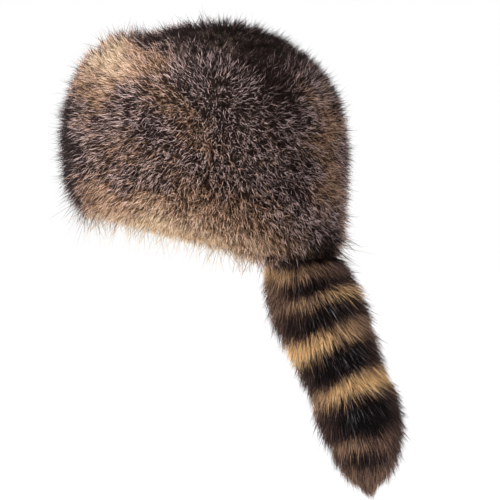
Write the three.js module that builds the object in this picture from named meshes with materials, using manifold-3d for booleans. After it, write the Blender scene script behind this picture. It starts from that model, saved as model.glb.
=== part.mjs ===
import * as THREE from 'three';
import Module from 'manifold-3d';
import { mergeVertices } from 'three/addons/utils/BufferGeometryUtils.js';

// Coonskin cap: a side band and a crown of tanned raccoon pelt, sewn together fur side out, with a
// ringed raccoon tail that hangs from the back of the hem. Millimetres, +Z up. The front of the cap
// faces -Y and the tail hangs on the +Y side. The origin is the middle of the head opening.

// The head opening and the pelt
const headLength = 196; // front to back, inside the hem
const headWidth = 164; // ear to ear, inside the hem
const backFullness = 0.04; // how much wider than its mean the cap is towards the back of the head
const peltThickness = 2;
const hemTilt = 13; // degrees by which the hem drops from the brow to the nape
const earArch = 7; // how far the hem rises over each ear
const seamHeight = 129; // the crown seam above the middle of the head opening
const browLift = 8; // how far the seam rises to the front
const wallBulge = 7; // how far the side band swells past its hem
const shoulderTuckDepth = 20; // how far the side band turns in under the crown seam
const browFullness = 0.4; // the share of that which the front does without
const crownRise = 29; // the top of the pelt above the crown seam
const crownRoundness = 2.7; // a higher power makes a flatter crown with a tighter edge
const apexShift = 15; // the highest point of the crown behind the middle of the head
const dentDepth = 6; // the deepest dent in the soft pelt
const dentSpread = 34; // how far a dent of full spread reaches

// The fur on the band and the crown
const furDepth = 24; // how far the tips stand off the pelt
const furHang = 10; // how far the fur reaches below the hem
const coreLocks = 11; // round the top of the crown
const locksAround = 4 * coreLocks; // round the side band
const sideRows = 9; // rows of locks down the side band

// The tail
const tailDrop = 195; // from the root of the tail down to its tip
const tailReach = 66; // how far the tip swings out behind the root
const tailWidth = 77; // over the fur
const tailLocks = 14; // round the tail
const tailRows = 12;
const rootBelowHem = 5;
const dockRootRadius = 6.5; // the skin core of the tail, where it leaves the hem
const dockTipRadius = 2.5;
const dockEnd = 0.78; // the share of tailDrop that the core reaches
const dockRings = 9;
const mouthRimWidth = 3; // the fur's thickness where it begins round the core
const tabWidth = 28; // the tongue of skin that is sewn inside the hem
const tabHeight = 26; // above the hem
const tabThickness = 1.8;
const tabOverlap = 4; // how far the tongue runs down into the core of the tail

// What separates pieces that are sewn to each other or lie on each other
const seamGap = 0.4;
const furGap = 0.4; // between the pelt and the fur that stands on it
const tabGap = 0.9; // between the band and the tongue, over the flat faces of the band

const wallSides = locksAround; // flat faces round each pelt wall
const fullTurn = Math.PI * 2;
const halfTurn = Math.PI;
const degree = Math.PI / 180;
const smallStep = 1e-3; // for slopes found by differences

// The side band from hem to seam. rise is a share of the height from hem to seam, bulge a share of
// wallBulge and tuck a share of shoulderTuckDepth.
const bandProfile = [
  { rise: 0.0, bulge: 0.0, tuck: 0.0 },
  { rise: 0.2, bulge: 0.65, tuck: 0.0 },
  { rise: 0.45, bulge: 1.0, tuck: 0.0 },
  { rise: 0.66, bulge: 0.95, tuck: 0.06 },
  { rise: 0.81, bulge: 0.8, tuck: 0.26 },
  { rise: 0.92, bulge: 0.5, tuck: 0.58 },
  { rise: 1.0, bulge: 0.0, tuck: 1.0 },
];

// Rings of the crown's pelt. climb is 1 at the seam and 2 at the top.
const crownRings = [{ climb: 1.0 }, { climb: 1.16 }, { climb: 1.34 }, { climb: 1.55 }, { climb: 1.78 }];

// Where the soft pelt is pushed in. angle runs round from the front over the left ear, climb is 0 at
// the hem, 1 at the seam and 2 at the top, depth is a share of dentDepth and spread of dentSpread.
const dents = [
  { name: 'saddle behind the front edge', angle: 22, climb: 1.42, depth: 0.75, spread: 0.95 },
  { name: 'hollow under the back edge', angle: 152, climb: 1.1, depth: 1.0, spread: 0.85 },
  { name: 'dimple above the left ear', angle: 74, climb: 0.86, depth: 0.7, spread: 0.8 },
  { name: 'slack over the right ear', angle: 262, climb: 0.7, depth: 0.6, spread: 1.0 },
  { name: 'slack on the far side', angle: 300, climb: 1.3, depth: 0.55, spread: 0.9 },
];

// How deep the fur is against the climb, as a share of furDepth
const pile = [
  { climb: -0.12, depth: 0.6 },
  { climb: 0.0, depth: 0.88 },
  { climb: 0.25, depth: 0.96 },
  { climb: 0.6, depth: 1.02 },
  { climb: 1.0, depth: 1.0 },
  { climb: 1.5, depth: 0.94 },
  { climb: 2.0, depth: 0.9 },
];

// One row of locks, as shares of the fur's depth. A row begins under the locks of the row before it
// and ends in its own tips, with notches between them.
const lockDepth = { ridge: 0.76, valley: 0.64, notch: 0.8, tip: 1.0 };
const lockReach = { tip: 0.42, notch: 0.12 }; // past and short of the row's end, as shares of the row
const lockUnevenness = 0.3; // how much the tips differ from each other

// Rows of locks on the crown, from the top out to the seam. end is a share of the way and locks a
// multiple of coreLocks.
const crownRows = [
  { end: 0.25, locks: 1 },
  { end: 0.48, locks: 2 },
  { end: 0.68, locks: 2 },
  { end: 0.85, locks: 4 },
  { end: 1.0, locks: 4 },
];
const crownOverSide = 0.6; // a step along the crown against the same share of the side band
const sideCover = 1.04; // the last row on the band ends this far down it, just below the hem

// The tail's middle line, as shares of tailDrop and tailReach, and its girth as a share of tailWidth
const tailLine = [
  { drop: 0.0, reach: 0.0, girth: 1.06 },
  { drop: 0.14, reach: 0.13, girth: 1.04 },
  { drop: 0.27, reach: 0.31, girth: 1.0 },
  { drop: 0.4, reach: 0.48, girth: 0.94 },
  { drop: 0.5, reach: 0.61, girth: 0.9 },
  { drop: 0.61, reach: 0.75, girth: 0.94 },
  { drop: 0.7, reach: 0.85, girth: 0.88 },
  { drop: 0.78, reach: 0.89, girth: 0.78 },
  { drop: 0.87, reach: 0.92, girth: 0.57 },
  { drop: 0.95, reach: 0.95, girth: 0.22 },
  { drop: 1.0, reach: 1.0, girth: 0.06 },
];
const tailFurStart = 0.042; // the share of tailDrop where the rows of locks begin
const tailFurEnd = 0.9; // the share of tailDrop where the last row ends
const tailTurnShare = 0.22; // the share of tailDrop by which its rings have turned square to it

// The sewn tongue from its end in the core up to its top edge: drop and rise are shares of how far it
// reaches below and above the hem, width a share of tabWidth.
const tabOutline = [
  { drop: 1.0, rise: 0.0, width: 0.36 },
  { drop: 0.4, rise: 0.0, width: 0.5 },
  { drop: 0.0, rise: 0.1, width: 0.8 },
  { drop: 0.0, rise: 0.45, width: 1.0 },
  { drop: 0.0, rise: 0.86, width: 1.0 },
  { drop: 0.0, rise: 1.0, width: 0.78 },
];
const tabColumns = 4;

// A number between 0 and 1 that is always the same for the same pair of whole numbers.
function scatter(a, b) {
  const wave = Math.sin(a * 12.9898 + b * 78.233) * 43758.5453;
  return wave - Math.floor(wave);
}

// The value in a table's column at a place in its key column, on a smooth curve through the rows.
function readTable(table, key, place, column) {
  const last = table.length - 1;
  if (place <= table[0][key]) return table[0][column];
  if (place >= table[last][key]) return table[last][column];
  const slope = (i) => {
    const before = table[Math.max(i - 1, 0)];
    const after = table[Math.min(i + 1, last)];
    return (after[column] - before[column]) / (after[key] - before[key]);
  };
  const next = table.findIndex((row) => row[key] >= place);
  const [low, high] = [table[next - 1], table[next]];
  const width = high[key] - low[key];
  const t = (place - low[key]) / width;
  const ease = t * t * (3 - 2 * t);
  const leave = t * (1 - t) * (1 - t) * width * slope(next - 1);
  const arrive = t * t * (t - 1) * width * slope(next);
  return low[column] + (high[column] - low[column]) * ease + leave + arrive;
}

// The outline of the opening inside the hem, grown outwards by an offset.
function headOutline(angle, offset) {
  const sideways = (headWidth / 2) * (1 - backFullness * Math.cos(angle));
  const along = headLength / 2;
  const point = new THREE.Vector2(sideways * Math.sin(angle), -along * Math.cos(angle));
  const facing = new THREE.Vector2(Math.sin(angle) / sideways, -Math.cos(angle) / along);
  return point.addScaledVector(facing.normalize(), offset);
}

function hemHeight(angle) {
  const slope = Math.tan(hemTilt * degree) * (headLength / 2) * Math.cos(angle);
  return slope + earArch * Math.sin(angle) ** 2;
}

// A point of the pelt's outer face before the dents. Below the hem it runs on straight down.
function tautPelt(angle, climb) {
  const frontness = ((1 + Math.cos(angle)) / 2) ** 2;
  const rise = Math.min(Math.max(climb, 0), 1);
  const bulge = wallBulge * readTable(bandProfile, 'rise', rise, 'bulge');
  const tuck = shoulderTuckDepth * readTable(bandProfile, 'rise', rise, 'tuck');
  const wall = headOutline(angle, peltThickness + bulge - tuck * (1 - browFullness * frontness));
  const seam = seamHeight + browLift * frontness;
  if (climb <= 1) {
    const hem = hemHeight(angle);
    return new THREE.Vector3(wall.x, wall.y, hem + (seam - hem) * climb);
  }
  const outwards = 2 - climb;
  const spot = new THREE.Vector2(0, apexShift).lerp(wall, outwards);
  const top = seamHeight + crownRise;
  return new THREE.Vector3(spot.x, spot.y, top - (top - seam) * outwards ** crownRoundness);
}

const heart = new THREE.Vector3(0, 0, seamHeight / 2);
const dentCentres = dents.map((dent) => tautPelt(dent.angle * degree, dent.climb));

// A point of the pelt's outer face.
function pelt(angle, climb) {
  const point = tautPelt(angle, climb);
  const inwards = heart.clone().sub(point).normalize();
  let push = 0;
  dents.forEach((dent, i) => {
    const away = point.distanceTo(dentCentres[i]) / (dentSpread * dent.spread);
    push += dentDepth * dent.depth * Math.exp(-away * away);
  });
  return point.addScaledVector(inwards, push);
}

// The direction in which the pelt climbs, and the one that it faces.
function peltSlopes(angle, climb) {
  const safe = Math.min(climb, 2 - 20 * smallStep);
  const up = pelt(angle, safe + smallStep).sub(pelt(angle, safe - smallStep));
  const round = pelt(angle + smallStep, safe).sub(pelt(angle - smallStep, safe));
  const outwards = new THREE.Vector3().crossVectors(round, up).normalize();
  return { up: up.normalize(), outwards };
}

// A point that stands off the pelt by a depth, and slides along it towards the top.
function offPelt(angle, climb, depth, slide = 0) {
  const { up, outwards } = peltSlopes(angle, climb);
  return pelt(angle, climb).addScaledVector(outwards, depth).addScaledVector(up, slide);
}

// The top of the pelt, which faces straight up.
function offApex(depth) {
  return pelt(0, 2).add(new THREE.Vector3(0, 0, depth));
}

// One closed ring of points, made by a function of the share of a full turn and of the count.
function ring(count, place) {
  return Array.from({ length: count }, (_, i) => place(i / count, i));
}

function peltRing(climb, depth, slide = 0) {
  return ring(wallSides, (turn) => offPelt(turn * fullTurn, climb, depth, slide));
}

// The faces between a ring and the next, which may hold as many points, twice or half as many, or one.
// Each square is cut from its lower ring forwards, so that faces laid on each other are cut alike.
function stitch(a, b) {
  const [na, nb] = [a.count, b.count];
  const falls = a.height > b.height;
  const pa = (i) => a.start + (i % na);
  const pb = (i) => b.start + (i % nb);
  const faces = [];
  if (na === 1) {
    for (let i = 0; i < nb; i += 1) faces.push(pa(0), pb(i + 1), pb(i));
    return faces;
  }
  if (nb === 1) {
    for (let i = 0; i < na; i += 1) faces.push(pa(i), pa(i + 1), pb(0));
    return faces;
  }
  for (let i = 0; i < Math.min(na, nb); i += 1) {
    if (na === nb && falls) {
      faces.push(pa(i), pa(i + 1), pb(i), pa(i + 1), pb(i + 1), pb(i));
    } else if (na === nb) {
      faces.push(pa(i), pa(i + 1), pb(i + 1), pa(i), pb(i + 1), pb(i));
    } else if (nb > na) {
      faces.push(pa(i), pb(2 * i + 1), pb(2 * i));
      faces.push(pa(i), pa(i + 1), pb(2 * i + 1));
      faces.push(pa(i + 1), pb(2 * i + 2), pb(2 * i + 1));
    } else {
      faces.push(pa(2 * i), pa(2 * i + 1), pb(i));
      faces.push(pa(2 * i + 1), pb(i + 1), pb(i));
      faces.push(pa(2 * i + 1), pa(2 * i + 2), pb(i + 1));
    }
  }
  return faces;
}

// A closed surface over a row of rings, which ends in single points or runs back into its start.
function skinOver(rings) {
  let start = 0;
  const spans = rings.map((points) => {
    const span = { start, count: points.length, height: points[0].z };
    start += points.length;
    return span;
  });
  const closed = rings[0].length > 1;
  const faces = spans.flatMap((span, i) => {
    if (i < spans.length - 1) return stitch(span, spans[i + 1]);
    return closed ? stitch(span, spans[0]) : [];
  });
  const places = rings.flat().flatMap((point) => [point.x, point.y, point.z]);
  const geometry = new THREE.BufferGeometry();
  geometry.setAttribute('position', new THREE.Float32BufferAttribute(places, 3));
  geometry.setIndex(faces);
  return geometry;
}

// The depth at which a row of locks leaves the fur under it, by turns over a ridge and a valley.
function rootDepth(i, row) {
  return (i + row) % 2 === 0 ? lockDepth.ridge : lockDepth.valley;
}

// The two rings of a row of locks: its roots, and its tips with the notches between them.
// place(turn, along, depth) is a point in the coat, with along running the way the fur lies.
function lockRow(place, row, locks, from, to) {
  const columns = 2 * locks;
  const roots = ring(columns, (turn, i) => place(turn, from, rootDepth(i, row)));
  const ends = ring(columns, (turn, i) => {
    const isTip = (i + row) % 2 === 0;
    if (!isTip) return place(turn, to - (to - from) * lockReach.notch, lockDepth.notch);
    const uneven = (scatter(i, row) - 0.5) * 2 * lockUnevenness;
    const sway = ((scatter(row, i) - 0.5) * lockUnevenness) / columns;
    const reach = (to - from) * lockReach.tip * (1 + uneven);
    return place(turn + sway, to + reach, lockDepth.tip + uneven * lockReach.notch);
  });
  return [roots, ends];
}

// A point in the coat of the cap, at a share of the fur's depth there.
function coat(turn, climb, share, slide = 0) {
  const depth = furDepth * readTable(pile, 'climb', climb, 'depth');
  return offPelt(turn * fullTurn, climb, furGap + (depth - furGap) * share, slide);
}

// A point in the coat of the band. fall is 0 at the seam and 1 at the hem, and the fur hangs below it.
function sideCoat(turn, fall, share) {
  const hangs = Math.max(fall - 1, 0);
  const lastTip = sideCover * (1 + lockReach.tip / sideRows) - 1;
  const point = coat(turn, Math.max(1 - fall, 0), share);
  if (hangs === 0) return point;
  const thinner = readTable(pile, 'climb', -hangs, 'depth') / readTable(pile, 'climb', 0, 'depth');
  return coat(turn, 0, share * thinner).setZ(point.z - (furHang * hangs) / lastTip);
}

// The side band: one strip of pelt sewn into a ring, from the hem up to the crown seam.
function sideBand() {
  const face = (depth) =>
    bandProfile.map(({ rise }) => peltRing(rise, depth, rise === 1 ? -seamGap / 2 : 0));
  return skinOver([...face(0), ...face(-peltThickness).reverse()]);
}

// The crown: an oval of pelt, domed over the head and sewn to the top of the band.
function crownTop() {
  const face = (depth) =>
    crownRings.map(({ climb }) => peltRing(climb, depth, climb === 1 ? seamGap / 2 : 0));
  return skinOver([
    [offApex(-peltThickness)],
    ...face(-peltThickness).reverse(),
    ...face(0),
    [offApex(0)],
  ]);
}

// The ring in which the coats of crown and band part over the seam.
function partingRing(slide) {
  return ring(2 * locksAround, (turn, i) => coat(turn, 1, rootDepth(i, 0), slide));
}

// The fur of the band: rows of locks that fall from the seam and hang below the hem.
function sideFur() {
  const rows = Array.from({ length: sideRows }, (_, row) =>
    lockRow(sideCoat, row, locksAround, (sideCover * row) / sideRows, (sideCover * (row + 1)) / sideRows),
  ).flat();
  const outside = [partingRing(-seamGap), ...rows.slice(1)];
  const inside = bandProfile.map(({ rise }) => peltRing(rise, furGap, rise === 1 ? -seamGap : 0));
  return skinOver([...outside.reverse(), ...inside.reverse()]);
}

// The fur of the crown: rows of locks that part at the top, fall outwards and overhang the seam.
function crownFur() {
  const place = (turn, along, share) =>
    coat(turn, along <= 1 ? 2 - along : 1 - (along - 1) * crownOverSide, share);
  const rows = crownRows.flatMap(({ end, locks }, row) => {
    const from = row ? crownRows[row - 1].end : 0;
    return lockRow(place, row, locks * coreLocks, from, end);
  });
  const outside = [...rows.slice(1), partingRing(seamGap)];
  const inside = crownRings.map(({ climb }) => peltRing(climb, furGap, climb === 1 ? seamGap : 0));
  const top = offApex(furDepth * readTable(pile, 'climb', 2, 'depth'));
  return skinOver([[offApex(furGap)], ...inside.reverse(), ...outside.reverse(), [top]]);
}

// The middle of the tail at a share of its drop, measured from its root under the back of the hem.
function tailMiddle(drop) {
  const inner = pelt(halfTurn, 0).y - peltThickness;
  const root = new THREE.Vector3(0, inner - tabGap - tabThickness / 2, hemHeight(halfTurn) - rootBelowHem);
  const reach = readTable(tailLine, 'drop', drop, 'reach');
  return root.add(new THREE.Vector3(0, reach * tailReach, -drop * tailDrop));
}

// A point round the tail's middle line, on rings that lie level at the root.
function roundTail(turn, drop, radius) {
  const near = Math.min(Math.max(drop, 2 * smallStep), 1 - 2 * smallStep);
  const along = tailMiddle(near + smallStep).sub(tailMiddle(near - smallStep)).normalize();
  const turned = THREE.MathUtils.smoothstep(drop, 0, tailTurnShare);
  along.lerp(new THREE.Vector3(0, 0, -1), 1 - turned).normalize();
  const sideways = new THREE.Vector3(1, 0, 0);
  const backwards = new THREE.Vector3().crossVectors(sideways, along);
  const angle = turn * fullTurn;
  return tailMiddle(drop)
    .addScaledVector(sideways, radius * Math.sin(angle))
    .addScaledVector(backwards, -radius * Math.cos(angle));
}

function dockRadius(drop) {
  return dockRootRadius + (dockTipRadius - dockRootRadius) * (drop / dockEnd);
}

// Rings along the skin core of the tail, from where its fur begins to the end, grown by a gap.
function dockFace(gap) {
  return Array.from({ length: dockRings }, (_, i) => {
    const drop = tailFurStart + ((dockEnd - tailFurStart) * i) / (dockRings - 1);
    return ring(tailLocks, (turn) => roundTail(turn, drop, dockRadius(drop) + gap));
  });
}

// The tongue of skin that lies inside the band at the back and runs down into the tail.
function sewnTab() {
  const below = rootBelowHem + tabOverlap;
  const loops = tabOutline.map(({ drop, rise, width }) => {
    const height = rise * tabHeight - drop * below;
    const climb = height / (seamHeight - hemHeight(halfTurn));
    const halfAngle = (width * tabWidth) / headLength;
    const row = (depth) =>
      Array.from({ length: tabColumns + 1 }, (_, i) =>
        offPelt(halfTurn + halfAngle * ((2 * i) / tabColumns - 1), climb, depth),
      );
    const outside = row(-peltThickness - tabGap);
    return [...outside, ...row(-peltThickness - tabGap - tabThickness).reverse()];
  });
  const middleOf = (loop) =>
    loop.reduce((sum, point) => sum.add(point), new THREE.Vector3()).divideScalar(loop.length);
  return skinOver([[middleOf(loops[0])], ...loops, [middleOf(loops[loops.length - 1])]]);
}

// The tanned skin of the tail: its sewn tongue and its core in one piece.
async function tailSkin() {
  const wasm = await Module();
  wasm.setup();
  const solid = (geometry) => {
    const bare = new THREE.BufferGeometry()
      .setAttribute('position', geometry.getAttribute('position'))
      .setIndex(geometry.index);
    const merged = mergeVertices(bare);
    return new wasm.Manifold(
      new wasm.Mesh({
        numProp: 3,
        vertProperties: new Float32Array(merged.attributes.position.array),
        triVerts: new Uint32Array(merged.index.array),
      }),
    );
  };
  const root = ring(tailLocks, (turn) => roundTail(turn, 0, dockRadius(0)));
  const core = skinOver([[tailMiddle(dockEnd)], ...dockFace(0).reverse(), root, [tailMiddle(0)]]);
  const whole = solid(core).add(solid(sewnTab())).getMesh();
  const geometry = new THREE.BufferGeometry();
  geometry.setAttribute('position', new THREE.Float32BufferAttribute(whole.vertProperties, 3));
  geometry.setIndex([...whole.triVerts]);
  return geometry;
}

// The fur of the tail: rows of locks round the skin core, running down to a bundle at the tip.
function tailFur() {
  const place = (turn, drop, share) => {
    const core = dockRadius(Math.min(drop, dockEnd)) + furGap;
    const girth = (tailWidth / 2) * readTable(tailLine, 'drop', drop, 'girth');
    return roundTail(turn, drop, core + (girth - core) * share);
  };
  const step = (tailFurEnd - tailFurStart) / tailRows;
  const rows = Array.from({ length: tailRows }, (_, row) =>
    lockRow(place, row, tailLocks, tailFurStart + step * row, tailFurStart + step * (row + 1)),
  ).flat();
  const bore = dockFace(furGap);
  const mouth = ring(2 * tailLocks, (turn) =>
    roundTail(turn, tailFurStart, dockRadius(tailFurStart) + furGap + mouthRimWidth),
  );
  const outside = [mouth, ...rows];
  const boreEnd = tailMiddle(dockEnd + furGap / tailDrop);
  return skinOver([[tailMiddle(1)], ...outside.reverse(), ...bore, [boreEnd]]);
}

const materials = {
  skin: new THREE.MeshStandardMaterial({ color: 0xb79a76, roughness: 0.9, metalness: 0 }),
  sideCoat: new THREE.MeshStandardMaterial({ color: 0x6b5344, roughness: 0.85, metalness: 0 }),
  crownCoat: new THREE.MeshStandardMaterial({ color: 0x3a2d27, roughness: 0.85, metalness: 0 }),
  tailCoat: new THREE.MeshStandardMaterial({ color: 0x4a3a2c, roughness: 0.8, metalness: 0 }),
};

function piece(name, geometry, material) {
  const mesh = new THREE.Mesh(geometry, material);
  mesh.name = name;
  return mesh;
}

const cap = new THREE.Group();
cap.add(piece('side_band', sideBand(), materials.skin));
cap.add(piece('crown_top', crownTop(), materials.skin));
cap.add(piece('side_fur', sideFur(), materials.sideCoat));
cap.add(piece('crown_fur', crownFur(), materials.crownCoat));

const tail = new THREE.Group();
tail.add(piece('tail_skin', await tailSkin(), materials.skin));
tail.add(piece('tail_fur', tailFur(), materials.tailCoat));
cap.add(tail);

export default cap;
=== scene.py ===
import math

import bpy
import numpy as np
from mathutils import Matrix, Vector


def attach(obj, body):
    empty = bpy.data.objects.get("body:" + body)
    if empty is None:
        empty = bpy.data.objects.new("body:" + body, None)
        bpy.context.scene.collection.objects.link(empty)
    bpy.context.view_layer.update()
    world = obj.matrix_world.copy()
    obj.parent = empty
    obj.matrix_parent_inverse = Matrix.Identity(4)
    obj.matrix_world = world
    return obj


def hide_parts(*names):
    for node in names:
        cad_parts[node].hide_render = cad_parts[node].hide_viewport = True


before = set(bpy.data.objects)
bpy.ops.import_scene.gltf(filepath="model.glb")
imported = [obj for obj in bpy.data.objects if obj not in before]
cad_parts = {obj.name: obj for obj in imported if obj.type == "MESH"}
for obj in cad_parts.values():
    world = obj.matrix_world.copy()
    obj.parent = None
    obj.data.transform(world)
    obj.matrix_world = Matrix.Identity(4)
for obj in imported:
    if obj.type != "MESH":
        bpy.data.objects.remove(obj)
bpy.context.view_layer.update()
turnOnce = 2 * math.pi


class Wire:
    def __init__(self, tree, socket):
        self.tree = tree
        self.socket = socket

    def calc(self, operation, *values):
        wires = [self, *values]
        isVector = any(isinstance(v, Wire) and v.socket.type in ("VECTOR", "RGBA") for v in wires)
        if isVector:
            wires = [v if isinstance(v, (Wire, tuple)) else (v, v, v) for v in wires]
        kind = "ShaderNodeVectorMath" if isVector else "ShaderNodeMath"
        return self.tree.add(kind, {"operation": operation}, dict(enumerate(wires)))

    def __add__(self, other):
        return self.calc("ADD", other)

    def __sub__(self, other):
        return self.calc("SUBTRACT", other)

    def __mul__(self, other):
        return self.calc("MULTIPLY", other)

    def __truediv__(self, other):
        return self.calc("DIVIDE", other)

    __radd__ = __add__
    __rmul__ = __mul__

    def __rsub__(self, other):
        return (self * -1) + other

    def __rtruediv__(self, other):
        return self.calc("POWER", -1.0) * other

    def also(self, name):
        return Wire(self.tree, self.socket.node.outputs[name])


class Tree:
    def __init__(self, group):
        self.group = group

    def add(self, kind, settings=None, values=None):
        node = self.group.nodes.new(kind)
        for key, value in (settings or {}).items():
            if key == "stops":
                self.fillRamp(node.color_ramp, value)
            else:
                setattr(node, key, value)
        usable = [s for s in node.inputs if s.enabled]
        for key, value in (values or {}).items():
            socket = usable[key] if isinstance(key, int) else next(s for s in usable if s.name == key)
            if isinstance(value, Wire):
                self.group.links.new(value.socket, socket)
            else:
                socket.default_value = value
        out = [s for s in node.outputs if s.enabled]
        return Wire(self, out[0]) if out else node

    def fact(self, name, kind="FLOAT"):
        return self.add("GeometryNodeInputNamedAttribute", {"data_type": kind}, {"Name": name})

    def fillRamp(self, ramp, stops):
        while len(ramp.elements) > 1:
            ramp.elements.remove(ramp.elements[-1])
        for i, (place, colour) in enumerate(stops):
            stop = ramp.elements[0] if i == 0 else ramp.elements.new(place)
            stop.position = place
            stop.color = (*colour, 1.0) if isinstance(colour, tuple) else (colour, colour, colour, 1.0)


def newMaterial(name):
    material = bpy.data.materials.new(name)
    material.use_nodes = True
    tree = Tree(material.node_tree)
    shader = next(n for n in material.node_tree.nodes if n.type == "BSDF_PRINCIPLED")
    return material, tree, shader


def feed(tree, shader, name, value):
    if isinstance(value, Wire):
        tree.group.links.new(value.socket, shader.inputs[name])
    else:
        shader.inputs[name].default_value = value


cap = {
    "headLength": 0.196,
    "headWidth": 0.164,
    "backFullness": 0.04,
    "peltThickness": 0.002,
    "hemTilt": math.radians(13),
    "earArch": 0.007,
    "seamHeight": 0.129,
    "browLift": 0.008,
    "wallBulge": 0.007,
    "shoulderTuck": 0.020,
    "browFullness": 0.4,
    "crownRise": 0.029,
    "crownRoundness": 2.7,
    "apexShift": 0.015,
    "dentDepth": 0.006,
    "dentSpread": 0.034,
    "furDepth": 0.024,
}

# rise from hem to seam, then shares of the bulge and the tuck there
bandProfile = [
    (0.0, 0.0, 0.0),
    (0.2, 0.65, 0.0),
    (0.45, 1.0, 0.0),
    (0.66, 0.95, 0.06),
    (0.81, 0.8, 0.26),
    (0.92, 0.5, 0.58),
    (1.0, 0.0, 1.0),
]

# angle round from the front over the left ear, climb (0 hem, 1 seam, 2 top), depth and spread
dents = [
    (22, 1.42, 0.75, 0.95),
    (152, 1.1, 1.0, 0.85),
    (74, 0.86, 0.7, 0.8),
    (262, 0.7, 0.6, 1.0),
    (300, 1.3, 0.55, 0.9),
]

# how deep the fur is against the climb, as a share of furDepth
pile = [(-0.12, 0.6), (0.0, 0.88), (0.25, 0.96), (0.6, 1.02), (1.0, 1.0), (1.5, 0.94), (2.0, 0.9)]


def smoothTable(table, x, column=1):
    rows = np.array(table, float)
    xs, ys = rows[:, 0], rows[:, column]
    last = len(xs) - 1
    before = np.maximum(np.arange(last + 1) - 1, 0)
    after = np.minimum(np.arange(last + 1) + 1, last)
    slope = (ys[after] - ys[before]) / (xs[after] - xs[before])
    x = np.clip(np.asarray(x, float), xs[0], xs[-1])
    i = np.clip(np.searchsorted(xs, x), 1, last)
    width = xs[i] - xs[i - 1]
    t = (x - xs[i - 1]) / width
    ease = t * t * (3 - 2 * t)
    leave = t * (1 - t) ** 2 * width * slope[i - 1]
    arrive = t * t * (t - 1) * width * slope[i]
    return ys[i - 1] + (ys[i] - ys[i - 1]) * ease + leave + arrive


def headOutline(angle, offset):
    sideways = cap["headWidth"] / 2 * (1 - cap["backFullness"] * np.cos(angle))
    along = cap["headLength"] / 2
    facing = np.stack([np.sin(angle) / sideways, -np.cos(angle) / along], -1)
    facing /= np.linalg.norm(facing, axis=-1, keepdims=True)
    point = np.stack([sideways * np.sin(angle), -along * np.cos(angle)], -1)
    return point + facing * np.asarray(offset)[..., None]


def hemHeight(angle):
    slope = math.tan(cap["hemTilt"]) * cap["headLength"] / 2
    return slope * np.cos(angle) + cap["earArch"] * np.sin(angle) ** 2


def tautPelt(angle, climb):
    angle, climb = np.broadcast_arrays(np.asarray(angle, float), np.asarray(climb, float))
    frontness = ((1 + np.cos(angle)) / 2) ** 2
    rise = np.clip(climb, 0, 1)
    bulge = cap["wallBulge"] * smoothTable(bandProfile, rise, 1)
    tuck = cap["shoulderTuck"] * smoothTable(bandProfile, rise, 2)
    wall = headOutline(angle, cap["peltThickness"] + bulge - tuck * (1 - cap["browFullness"] * frontness))
    seam = cap["seamHeight"] + cap["browLift"] * frontness
    hem = hemHeight(angle)
    outwards = np.clip(2 - climb, 0, 1)
    top = cap["seamHeight"] + cap["crownRise"]
    onCrown = climb > 1
    spot = np.where(onCrown[..., None], np.array([0, cap["apexShift"]]) * (1 - outwards[..., None])
                    + wall * outwards[..., None], wall)
    height = np.where(onCrown, top - (top - seam) * outwards ** cap["crownRoundness"],
                      hem + (seam - hem) * climb)
    return np.concatenate([spot, height[..., None]], -1)


heart = np.array([0, 0, cap["seamHeight"] / 2])
dentCentres = [tautPelt(math.radians(angle), climb) for angle, climb, _, _ in dents]


def pelt(angle, climb):
    point = tautPelt(angle, climb)
    inwards = heart - point
    inwards /= np.linalg.norm(inwards, axis=-1, keepdims=True)
    push = 0
    for centre, (_, _, depth, spread) in zip(dentCentres, dents):
        away = np.linalg.norm(point - centre, axis=-1) / (cap["dentSpread"] * spread)
        push = push + cap["dentDepth"] * depth * np.exp(-(away**2))
    return point + inwards * push[..., None]


def unit(v):
    return v / np.maximum(np.linalg.norm(v, axis=-1, keepdims=True), 1e-12)


def fullTurn(count):
    return np.linspace(0, turnOnce, count, endpoint=False)


def peltSlopes(angle, climb):
    step = 1e-3
    safe = np.minimum(climb, 2 - 20 * step)
    up = pelt(angle, safe + step) - pelt(angle, safe - step)
    around = pelt(angle + step, safe) - pelt(angle - step, safe)
    return unit(up), unit(np.cross(around, up))


def offPelt(angle, climb, depth):
    return pelt(angle, climb) + peltSlopes(angle, climb)[1] * np.asarray(depth)[..., None]


def coatDepth(climb):
    return cap["furDepth"] * smoothTable(pile, climb)


tailForm = {
    "drop": 0.195,
    "reach": 0.066,
    "width": 0.077,
    "rootBelowHem": 0.005,
    "tabGap": 0.0009,
    "tabThickness": 0.0018,
    "dockRoot": 0.0065,
    "dockTip": 0.0025,
    "dockEnd": 0.78,
    "turnShare": 0.22,
}

# share of the drop, then shares of the reach and of the width
tailLine = [
    (0.0, 0.0, 1.06),
    (0.14, 0.13, 1.04),
    (0.27, 0.31, 1.0),
    (0.4, 0.48, 0.94),
    (0.5, 0.61, 0.9),
    (0.61, 0.75, 0.94),
    (0.7, 0.85, 0.88),
    (0.78, 0.89, 0.78),
    (0.87, 0.92, 0.57),
    (0.95, 0.95, 0.22),
    (1.0, 1.0, 0.06),
]


def tailMiddle(drop):
    inner = pelt(math.pi, 0)[1] - cap["peltThickness"]
    rootY = inner - tailForm["tabGap"] - tailForm["tabThickness"] / 2
    rootZ = hemHeight(math.pi) - tailForm["rootBelowHem"]
    drop = np.asarray(drop, float)
    y = rootY + smoothTable(tailLine, drop, 1) * tailForm["reach"]
    return np.stack([np.zeros_like(drop), y, rootZ - drop * tailForm["drop"]], -1)


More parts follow.
